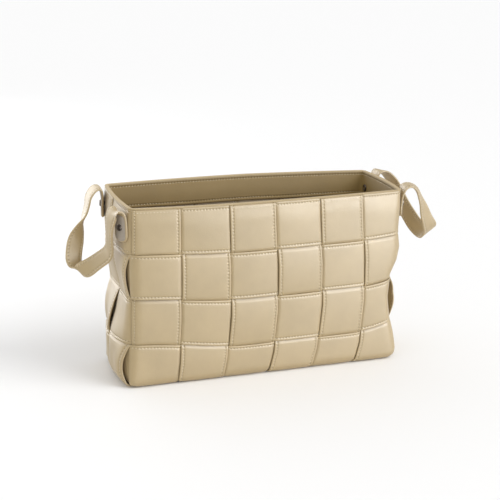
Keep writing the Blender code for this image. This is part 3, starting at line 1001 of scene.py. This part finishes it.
def sew(name, body, tree, sockets):
    """Turns a body's kept stitches into one plain mesh."""
    here, forward, lifted = (np.concatenate(parts) for parts in zip(*STITCHES[body]))
    seats = bpy.data.meshes.new(name + "_seats")
    seats.from_pydata(here.tolist(), [], [])
    for key, values in (("along", forward), ("out", lifted)):
        values = values / (np.linalg.norm(values, axis=1, keepdims=True) + 1e-12)
        attribute = seats.attributes.new(key, "FLOAT_VECTOR", "POINT")
        attribute.data.foreach_set("vector", values.astype(np.float32).ravel())
    holder = bpy.data.objects.new(name + "_seats", seats)
    bpy.context.scene.collection.objects.link(holder)
    modifier = holder.modifiers.new("stitches", "NODES")
    modifier.node_group = tree
    modifier[sockets["Stitch Length"]] = bpy.context.scene.bin_sizes.stitch_pitch * STITCH_SHARE
    modifier[sockets["Stitch Thickness"]] = THREAD_THICKNESS
    modifier[sockets["Material"]] = finish("bonded polyester thread")
    evaluated = holder.evaluated_get(bpy.context.evaluated_depsgraph_get())
    mesh = bpy.data.meshes.new_from_object(evaluated)
    mesh.name = name
    for attribute in ("along", "out"):
        if attribute in mesh.attributes:
            mesh.attributes.remove(mesh.attributes[attribute])
    bpy.data.objects.remove(holder)
    piece = bpy.data.objects.new(name, mesh)
    bpy.context.scene.collection.objects.link(piece)
    return piece


# ---------------------------------------------------------------- handles

HANDLE_INSET = 0.0022
# The pads' width, and where on the strap, from its end, they begin and end and the rivet sits.
PAD_WIDTH = 0.0150
PAD_GAP = 0.0012
PAD_REACH = 0.0290
RIVET_SEAT = 0.0152
# How far out from the end wall each handle's fold begins and ends to bend.
FOLD_REACH = {-1: (0.0098, 0.0130), 1: (0.0100, 0.0165)}


def hang(piece, end):
    """Bakes a piece's place into its mesh. The reach of the handle's fold is worked out but nothing uses it, so the
    piece does not bend.
    """
    low, high = FOLD_REACH[end]
    low, high = end * (HALF_LENGTH + low), end * (HALF_LENGTH + high)
    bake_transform(piece)


# Where a handle's strap runs, from the bottom of its front tab over the fold, down round the loop and
# back: place (out from the end wall, y, z), and the direction of its width (out, y, z), in millimetres.
LEFT_ROUTE = (
    ((5.6, -37.6, 156.0), (0.42, 0.91, 0.0)),
    ((5.8, -37.6, 171.0), (0.42, 0.91, 0.0)),
    ((6.8, -37.6, 182.5), (0.42, 0.91, 0.05)),
    ((9.0, -37.4, 187.6), (0.40, 0.91, 0.08)),
    ((13.0, -36.0, 186.6), (0.36, 0.92, 0.10)),
    ((15.4, -32.5, 179.0), (0.26, 0.95, 0.1)),
    ((15.5, -28.0, 169.0), (0.12, 0.98, 0.1)),
    ((15.0, -25.5, 158.0), (0.05, 0.98, 0.15)),
    ((14.4, -23.8, 147.5), (0.12, 0.92, 0.36)),
    ((16.8, -21.5, 139.5), (0.22, 0.80, 0.55)),
    ((22.5, -17.5, 133.5), (0.26, 0.76, 0.60)),
    ((28.5, -13.5, 128.0), (0.30, 0.70, 0.64)),
    ((35.5, -9.0, 122.0), (0.42, 0.40, 0.80)),
    ((42.0, -2.0, 119.5), (0.72, -0.15, 0.65)),
    ((45.0, 4.0, 126.3), (0.92, -0.20, 0.30)),
    ((44.0, 8.0, 136.0), (0.95, -0.15, 0.20)),
    ((40.7, 13.0, 146.6), (0.93, -0.25, 0.10)),
    ((35.0, 18.0, 157.6), (0.68, -0.72, 0.05)),
    ((29.5, 22.5, 168.5), (0.15, -0.98, 0.0)),
    ((25.5, 26.0, 178.5), (0.05, -0.98, -0.05)),
    ((22.0, 30.0, 188.5), (0.0, -0.98, -0.10)),
    ((16.0, 33.0, 195.0), (0.05, -0.98, -0.12)),
    ((10.6, 34.0, 196.2), (0.08, -0.99, -0.05)),
    ((7.4, 34.0, 191.0), (0.15, -0.98, 0.0)),
    ((6.4, 34.0, 178.0), (0.30, -0.95, 0.0)),
    ((6.2, 34.0, 164.0), (0.33, -0.94, 0.0)),
)
RIGHT_ROUTE = (
    ((6.8, -34.0, 159.5), (0.30, 0.95, 0.0)),
    ((7.0, -34.0, 173.5), (0.30, 0.95, 0.0)),
    ((7.6, -34.0, 184.0), (0.20, 0.98, 0.0)),
    ((10.8, -34.0, 191.6), (0.05, 1.0, 0.0)),
    ((17.8, -34.0, 193.0), (0.10, 0.98, 0.05)),
    ((26.4, -33.5, 187.0), (0.40, 0.90, 0.10)),
    ((32.4, -33.0, 175.0), (0.55, 0.82, 0.10)),
    ((38.0, -31.0, 162.5), (0.78, 0.60, 0.15)),
    ((45.0, -27.0, 149.0), (0.85, 0.45, 0.25)),
    ((53.0, -19.0, 137.5), (0.85, 0.10, 0.45)),
    ((52.5, -8.0, 131.0), (0.75, -0.10, 0.65)),
    ((47.7, 4.0, 136.0), (0.55, -0.35, 0.75)),
    ((42.3, 13.0, 147.0), (0.45, -0.55, 0.70)),
    ((38.0, 22.0, 158.5), (0.40, -0.70, 0.60)),
    ((34.3, 28.0, 170.5), (0.35, -0.82, 0.45)),
    ((28.0, 32.0, 184.0), (0.25, -0.92, 0.25)),
    ((19.0, 34.0, 193.0), (0.15, -0.97, 0.15)),
    ((11.0, 34.0, 194.4), (0.05, -1.0, 0.0)),
    ((7.6, 34.0, 188.0), (0.0, -1.0, 0.0)),
    ((7.0, 34.0, 174.0), (-0.12, -1.0, 0.0)),
    ((6.8, 34.0, 160.0), (-0.15, -1.0, 0.0)),
)


def spline(points, count):
    """A centripetal curve through points, resampled to equal steps. Returns the points and its length."""

    def between(t, low, high, start, end):
        return (high - t) / (high - low) * start + (t - low) / (high - low) * end

    points = np.asarray(points, float)
    padded = np.vstack([2 * points[0] - points[1], points, 2 * points[-1] - points[-2]])
    fine = []
    for i in range(len(points) - 1):
        p0, p1, p2, p3 = padded[i : i + 4]
        t0, t1 = 0.0, np.linalg.norm((p1 - p0)[:3]) ** 0.5
        t2 = t1 + np.linalg.norm((p2 - p1)[:3]) ** 0.5
        t3 = t2 + np.linalg.norm((p3 - p2)[:3]) ** 0.5
        t = np.linspace(t1, t2, 24, endpoint=False)[:, None]
        a1, a2, a3 = between(t, t0, t1, p0, p1), between(t, t1, t2, p1, p2), between(t, t2, t3, p2, p3)
        fine.append(between(t, t1, t2, between(t, t0, t2, a1, a2), between(t, t1, t3, a2, a3)))
    fine = np.vstack(fine + [points[-1:]])
    steps = np.linalg.norm(np.diff(fine[:, :3], axis=0), axis=1)
    travelled = np.concatenate([[0.0], np.cumsum(steps)])
    wanted = np.linspace(0, travelled[-1], count)
    return np.stack([np.interp(wanted, travelled, column) for column in fine.T], axis=-1), travelled[-1]


def blurred(values, passes):
    """Smooths rows of values along their length and keeps the ends."""
    values = values.copy()
    for _ in range(passes):
        values[1:-1] = 0.25 * values[:-2] + 0.5 * values[1:-1] + 0.25 * values[2:]
    return values


class HandleStrap:
    """A handle's ribbon: its centre line, width directions and face directions at equal steps."""

    def __init__(self, end, route):
        sizes = bpy.context.scene.bin_sizes
        self.width = sizes.handle_width
        self.thickness = sizes.handle_thickness
        self.inset = HANDLE_INSET
        rows = [
            (end * (HALF_LENGTH + out * MM), y * MM, z * MM, end * wide_out, wide_y, wide_z)
            for (out, y, z), (wide_out, wide_y, wide_z) in route
        ]
        samples, self.length = spline(rows, 210)
        samples = blurred(samples, 3)
        self.centre = samples[:, :3]
        tangent = np.gradient(self.centre, axis=0)
        tangent /= np.linalg.norm(tangent, axis=1, keepdims=True)
        wide = samples[:, 3:]
        wide = wide - tangent * np.sum(wide * tangent, axis=1, keepdims=True)
        self.wide = wide / np.linalg.norm(wide, axis=1, keepdims=True)
        self.face = -end * np.cross(tangent, self.wide)
        self.steps = np.linspace(0, self.length, len(samples))

    def at(self, values, along):
        return np.stack([np.interp(along, self.steps, values[:, k]) for k in range(3)], axis=-1)

    def half_width(self, along):
        """Full width, with rounded ends."""
        radius = 0.0075
        return self.width / 2 - radius + radius * quarter_round(np.minimum(along, self.length - along) / radius)

    def point(self, along, share, side, lift=0.0):
        """share runs from -1 to 1 across the strap, side is the face."""
        half = self.half_width(along)
        across = share * half
        from_edge = half - np.abs(across)
        radius = self.thickness / 2
        body = 0.84 + 0.16 * smooth(from_edge, self.inset, self.inset + 0.003)
        groove = 0.0002 * bell(from_edge, self.inset, 0.0005)
        rounding = quarter_round(from_edge / radius) * quarter_round(np.minimum(along, self.length - along) / radius)
        thick = np.maximum(radius * body * rounding - groove, THINNEST)
        return (
            self.at(self.centre, along)
            + self.at(self.wide, along) * across[..., None]
            + self.at(self.face, along) * (side * (thick + lift))[..., None]
        )


def handle_mesh(name, strap):
    """A handle's closed skin, with rows close together at its edges and its stitching."""
    along = np.linspace(0, strap.length, 190)
    line = 1 - 2 * strap.inset / strap.width
    right = [1.0, 0.985, 0.955, 0.91, 0.87, line + 0.05, line, line - 0.05, line - 0.14]
    shares = np.array([-share for share in right] + [-0.4, -0.2, 0.0, 0.2, 0.4] + right[::-1])
    grid_along, grid_share = np.meshgrid(along, shares, indexing="ij")
    outer = strap.point(grid_along, grid_share, 1.0)
    inner = strap.point(grid_along, grid_share[:, ::-1], -1.0)
    return skin_mesh(name, outer, inner, along, shares * strap.width / 2, False, strap.length)


def handle_stitches(body, strap):
    """Topstitching along both edges of a handle, on both faces."""
    for side in (1.0, -1.0):
        for edge in (-1.0, 1.0):
            share = edge * (1 - 2 * strap.inset / strap.width)

            def place(along, lift, side=side, share=share):
                return strap.point(along, np.full(along.shape, share), side, np.full(along.shape, lift))

            note_stitches(body, place, 0.006, strap.length - 0.006)


def pad_mesh(name, strap, start, end):
    """A stiff pad on the outer face of a tab, with rounded ends."""
    along = np.linspace(start, end, 26)
    shares = np.array([-1.0, -0.97, -0.90, -0.6, -0.3, 0.0, 0.3, 0.6, 0.90, 0.97, 1.0])
    radius = 0.0052
    from_end = np.clip(np.minimum(along - start, end - along) / radius, 0.0, 1.0)
    half = PAD_WIDTH / 2 - radius + radius * quarter_round(from_end)
    grid_along, grid_share = np.meshgrid(along, shares, indexing="ij")
    share = grid_share * half[:, None] / strap.half_width(grid_along)
    rounded = np.sqrt(np.clip(1 - np.abs(grid_share) ** 8, 0.0, 1.0))
    rounded = rounded * np.sqrt(np.clip(from_end[:, None] * 4, 0.0, 1.0))
    outer = strap.point(grid_along, share, 1.0, 0.0008 * rounded - 0.0001)
    inner = strap.point(grid_along, share, 1.0, -0.0006)[:, ::-1]
    return skin_mesh(name, outer, inner, along, shares * PAD_WIDTH / 2, False, end - start)


# A closed rivet's cap, from its flat middle to where its shank begins: radius and height over the tab, in mm.
RIVET_PROFILE = (
    (0.9, 1.0),
    (1.35, 0.72),
    (1.5, 0.5),
    (1.75, 0.45),
    (2.0, 0.6),
    (2.3, 1.15),
    (2.7, 1.4),
    (3.1, 1.3),
    (3.4, 0.95),
    (3.5, 0.4),
    (3.4, 0.0),
    (1.9, 0.0),
)
# The washer on the inside, as a ring round the rivet's end: radius and height over the facing, in mm.
WASHER_PROFILE = (
    (2.0, 0.2),
    (2.1, 0.75),
    (2.6, 1.05),
    (3.6, 0.95),
    (4.1, 0.6),
    (4.2, 0.2),
    (4.2, -0.3),
    (2.0, -0.3),
)


def inner_seat(end, top, normal):
    """Where a rivet's axis meets the facing inside: the place and the wall's direction inwards."""
    centre = AROUND - HALF_DEPTH - top[1] if end < 0 else 2 * HALF_LENGTH + HALF_DEPTH + top[1]
    around, down = np.meshgrid(
        np.linspace(centre - 0.016, centre + 0.016, 161), np.linspace(0.006, FACING_DROP - 0.002, 101), indexing="ij"
    )
    places = wall_place(around, down, FACING_LEVEL)
    away = places - top
    off_axis = away - np.sum(away * normal, axis=-1, keepdims=True) * normal
    nearest = np.unravel_index(np.argmin(np.sum(off_axis**2, axis=-1)), around.shape)
    here = places[nearest]
    inwards = wall_place(around[nearest], down[nearest], FACING_LEVEL - 0.001) - here
    return here, inwards / np.linalg.norm(inwards)


def turned_mesh(name, profile, seat, normal, closed):
    """A turned part: a profile of radii and heights in mm, spun round an axis through the seat."""
    side = np.cross(normal, (0.0, 0.0, 1.0))
    side /= np.linalg.norm(side)
    third = np.cross(normal, side)
    turns = np.linspace(0, 2 * math.pi, 40, endpoint=False)
    rings = []
    for radius, height in profile:
        circle = np.cos(turns)[:, None] * side + np.sin(turns)[:, None] * third
        rings.append(seat + height * MM * normal + radius * MM * circle)
    points = np.array(rings)
    along = np.arange(len(rings)) * MM
    return ring_mesh(name, points, along, turns * MM, closed, along[-1] + MM * closed)


def add_tab_fittings(end, strap, tab, low, high, seat):
    """A tab's pad, from low to high along the strap, with its rivet at the seat and the washer inside."""
    material = "coated non-woven reinforcement"
    add_fixed(tab + "_pad", pad_mesh(tab + "_pad", strap, low, high), material, tab + "_tab_pad")
    where = np.array([seat])
    top = strap.point(where, np.zeros(1), 1.0, 0.0007)[0]
    normal = strap.at(strap.face, where)[0]
    normal /= np.linalg.norm(normal)
    inside, inwards = inner_seat(end, top, normal)
    shank = np.linalg.norm(inside - top) / MM + 0.3
    meshes = {
        "_rivet": turned_mesh(tab + "_rivet", RIVET_PROFILE + ((1.9, -shank),), top, normal, False),
        "_washer": turned_mesh(tab + "_washer", WASHER_PROFILE, inside, inwards, True),
    }
    for kind, mesh in meshes.items():
        add_fixed(tab + kind + "_metal", mesh, "nickel-plated steel", tab + kind)


# ---------------------------------------------------------------- operators


class BIN_OT_upright_straps(bpy.types.Operator):
    """Makes the six straps that run down the front, under the base and up the back"""

    bl_idname = "bin.upright_straps"
    bl_label = "Upright Straps"

    def execute(self, context):
        material = "coated split leather, upright straps"
        for column in range(1, COLUMNS + 1):
            strap = upright_strap(column)
            node = f"upright_strap_{column}"
            add_fixed(node + "_leather", strap_mesh(node, strap), material, node)
            strap_stitches(strap)
            rim_stitches(strap)
        return {"FINISHED"}


class BIN_OT_end_straps(bpy.types.Operator):
    """Makes the two straps that run down one end, along the base and up the other end"""

    bl_idname = "bin.end_straps"
    bl_label = "End Straps"

    def execute(self, context):
        material = "coated split leather, end straps"
        for end_column, node in ((1, "end_strap_front"), (2, "end_strap_back")):
            strap = end_strap(end_column)
            add_fixed(node + "_leather", strap_mesh(node, strap), material, node)
            strap_stitches(strap)
            rim_stitches(strap)
        return {"FINISHED"}


class BIN_OT_ring_bands(bpy.types.Operator):
    """Makes the four bands that go round the walls"""

    bl_idname = "bin.ring_bands"
    bl_label = "Ring Bands"

    def execute(self, context):
        material = "coated split leather, bands"
        for row in range(1, ROWS + 1):
            strap = ring_band(row)
            node = f"ring_band_{row}"
            add_fixed(node + "_leather", strap_mesh(node, strap), material, node)
            strap_stitches(strap)
        return {"FINISHED"}


class BIN_OT_rim_facing(bpy.types.Operator):
    """Makes the folded facing that lines the rim, and the stiffener behind it"""

    bl_idname = "bin.rim_facing"
    bl_label = "Rim Facing"

    def execute(self, context):
        for node, mesh, suffix, material, slot in (
            ("rim_facing", facing_mesh, "_leather", "coated split leather, facing", "facing_leather"),
            ("rim_stiffener", stiffener_mesh, "_board", "leather-covered board", "board"),
        ):
            add_fixed(node + suffix, mesh(node), material, node)
        facing_stitches()
        return {"FINISHED"}


class BIN_OT_handles(bpy.types.Operator):
    """Makes the two handle straps, each from tab to tab round its loop, with their pads and rivets"""

    bl_idname = "bin.handles"
    bl_label = "Handles"

    def execute(self, context):
        for end, name, route in ((-1, "left", LEFT_ROUTE), (1, "right", RIGHT_ROUTE)):
            strap = HandleStrap(end, route)
            mesh = handle_mesh(name + "_handle", strap)
            piece = add_piece(name + "_handle_strap", mesh, "coated split leather, handles")
            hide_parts(name + "_handle_loop", name + "_front_tab", name + "_back_tab")
            hang(piece, end)
            handle_stitches(HANDLES[end], strap)
            far = strap.length
            add_tab_fittings(end, strap, name + "_front", PAD_GAP, PAD_REACH, RIVET_SEAT)
            add_tab_fittings(end, strap, name + "_back", far - PAD_REACH, far - PAD_GAP, far - RIVET_SEAT)
        return {"FINISHED"}


class BIN_OT_base_board(bpy.types.Operator):
    """Gives the base board its finish"""

    bl_idname = "bin.base_board"
    bl_label = "Base Board"

    def execute(self, context):
        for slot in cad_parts["base_board"].material_slots:
            slot.material = finish("leather-covered board")
        return {"FINISHED"}


class BIN_OT_stitching(bpy.types.Operator):
    """Sews all the topstitching, one stitch for each needle step"""

    bl_idname = "bin.stitching"
    bl_label = "Stitching"

    def execute(self, context):
        tree, sockets = stitch_tree("sewn stitches")
        piece = sew("basket_stitching", ROOT, tree, sockets)
        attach(piece, ROOT)
        for end, body in HANDLES.items():
            piece = sew(body + "_stitching", body, tree, sockets)
            hang(piece, end)
        return {"FINISHED"}


class BIN_OT_stage(bpy.types.Operator):
    """Makes the floor, the lights and the camera"""

    bl_idname = "bin.stage"
    bl_label = "Stage"

    def execute(self, context):
        scene = bpy.context.scene
        mesh = bpy.data.meshes.new("studio_floor")
        reach = 6.0
        corners = [(-reach, -reach, 0), (reach, -reach, 0), (reach, reach, 0), (-reach, reach, 0)]
        mesh.from_pydata(corners, [], [(0, 1, 2, 3)])
        floor = add_piece("studio_floor", mesh, "matt painted sweep")
        world = bpy.data.worlds.new("studio")
        world.use_nodes = True
        background = world.node_tree.nodes["Background"]
        background.inputs["Color"].default_value = (1.0, 1.0, 1.0, 1.0)
        background.inputs["Strength"].default_value = 0.80
        scene.world = world
        sun = bpy.data.lights.new("window_light", "SUN")
        sun.energy = 1.2
        sun.angle = math.radians(38)
        self.aim(scene, sun, (1.1, -0.9, 1.4))
        for name, place, size, power in (
            ("front_softbox", (0.66, -0.95, 0.34), 0.8, 66.0),
            ("left_softbox", (-0.84, 1.10, 0.45), 2.0, 105.0),
        ):
            box = bpy.data.lights.new(name, "AREA")
            box.shape = "SQUARE"
            box.size = size
            box.energy = power
            self.aim(scene, box, place).visible_diffuse = False
        self.place_camera(scene)
        scene.view_settings.view_transform = "Standard"
        return {"FINISHED"}

    def aim(self, scene, light, place):
        """Puts a light at a place, turned to the middle of the bin."""
        lamp = bpy.data.objects.new(light.name, light)
        lamp.location = place
        lamp.rotation_euler = (Vector((0.0, 0.0, 0.1)) - Vector(place)).to_track_quat("-Z", "Y").to_euler()
        scene.collection.objects.link(lamp)
        return lamp

    def place_camera(self, scene):
        """A long lens, a little above the bin and to its left, with a slight roll."""
        azimuth, elevation, roll = (math.radians(a) for a in (-20.63, 16.04, 1.11))
        target = Vector((-0.00319, 0.0, 0.1245))
        distance = 1.42425
        level = math.cos(elevation)
        back = Vector((math.sin(azimuth) * level, -math.cos(azimuth) * level, math.sin(elevation)))
        right = Vector((math.cos(azimuth), math.sin(azimuth), 0))
        up = back.cross(right)
        rolled_right = right * math.cos(roll) + up * math.sin(roll)
        rolled_up = up * math.cos(roll) - right * math.sin(roll)
        data = bpy.data.cameras.new("camera")
        data.sensor_width = 36.0
        data.lens = 95.26
        camera = bpy.data.objects.new("camera", data)
        turned = Matrix((rolled_right, rolled_up, back)).transposed().to_4x4()
        turned.translation = target + back * distance
        camera.matrix_world = turned
        scene.collection.objects.link(camera)
        scene.camera = camera


class BIN_PT_panel(bpy.types.Panel):
    """Lists the bin's sizes, colours and build steps"""

    bl_idname = "BIN_PT_panel"
    bl_label = "Woven Bin"
    bl_space_type = "VIEW_3D"
    bl_region_type = "UI"
    bl_category = "Woven Bin"

    def draw(self, context):
        layout = self.layout
        for group in (context.scene.bin_sizes, context.scene.bin_colours):
            column = layout.column()
            for name in group.bl_rna.properties.keys():
                if name not in ("rna_type", "name"):
                    column.prop(group, name)
        for operator in OPERATORS:
            layout.operator(operator.bl_idname)


OPERATORS = (
    BIN_OT_stage,
    BIN_OT_upright_straps,
    BIN_OT_end_straps,
    BIN_OT_ring_bands,
    BIN_OT_rim_facing,
    BIN_OT_handles,
    BIN_OT_base_board,
    BIN_OT_stitching,
)
CLASSES = (BinSizes, BinColours) + OPERATORS + (BIN_PT_panel,)


def register():
    for cls in CLASSES:
        bpy.utils.register_class(cls)
    bpy.types.Scene.bin_sizes = bpy.props.PointerProperty(type=BinSizes)
    bpy.types.Scene.bin_colours = bpy.props.PointerProperty(type=BinColours)


def unregister():
    del bpy.types.Scene.bin_colours
    del bpy.types.Scene.bin_sizes
    for cls in reversed(CLASSES):
        bpy.utils.unregister_class(cls)


def main():
    register()
    bpy.ops.bin.stage()
    bpy.ops.bin.upright_straps()
    bpy.ops.bin.end_straps()
    bpy.ops.bin.ring_bands()
    bpy.ops.bin.rim_facing()
    bpy.ops.bin.handles()
    bpy.ops.bin.base_board()
    bpy.ops.bin.stitching()


if __name__ == "__main__":
    main()
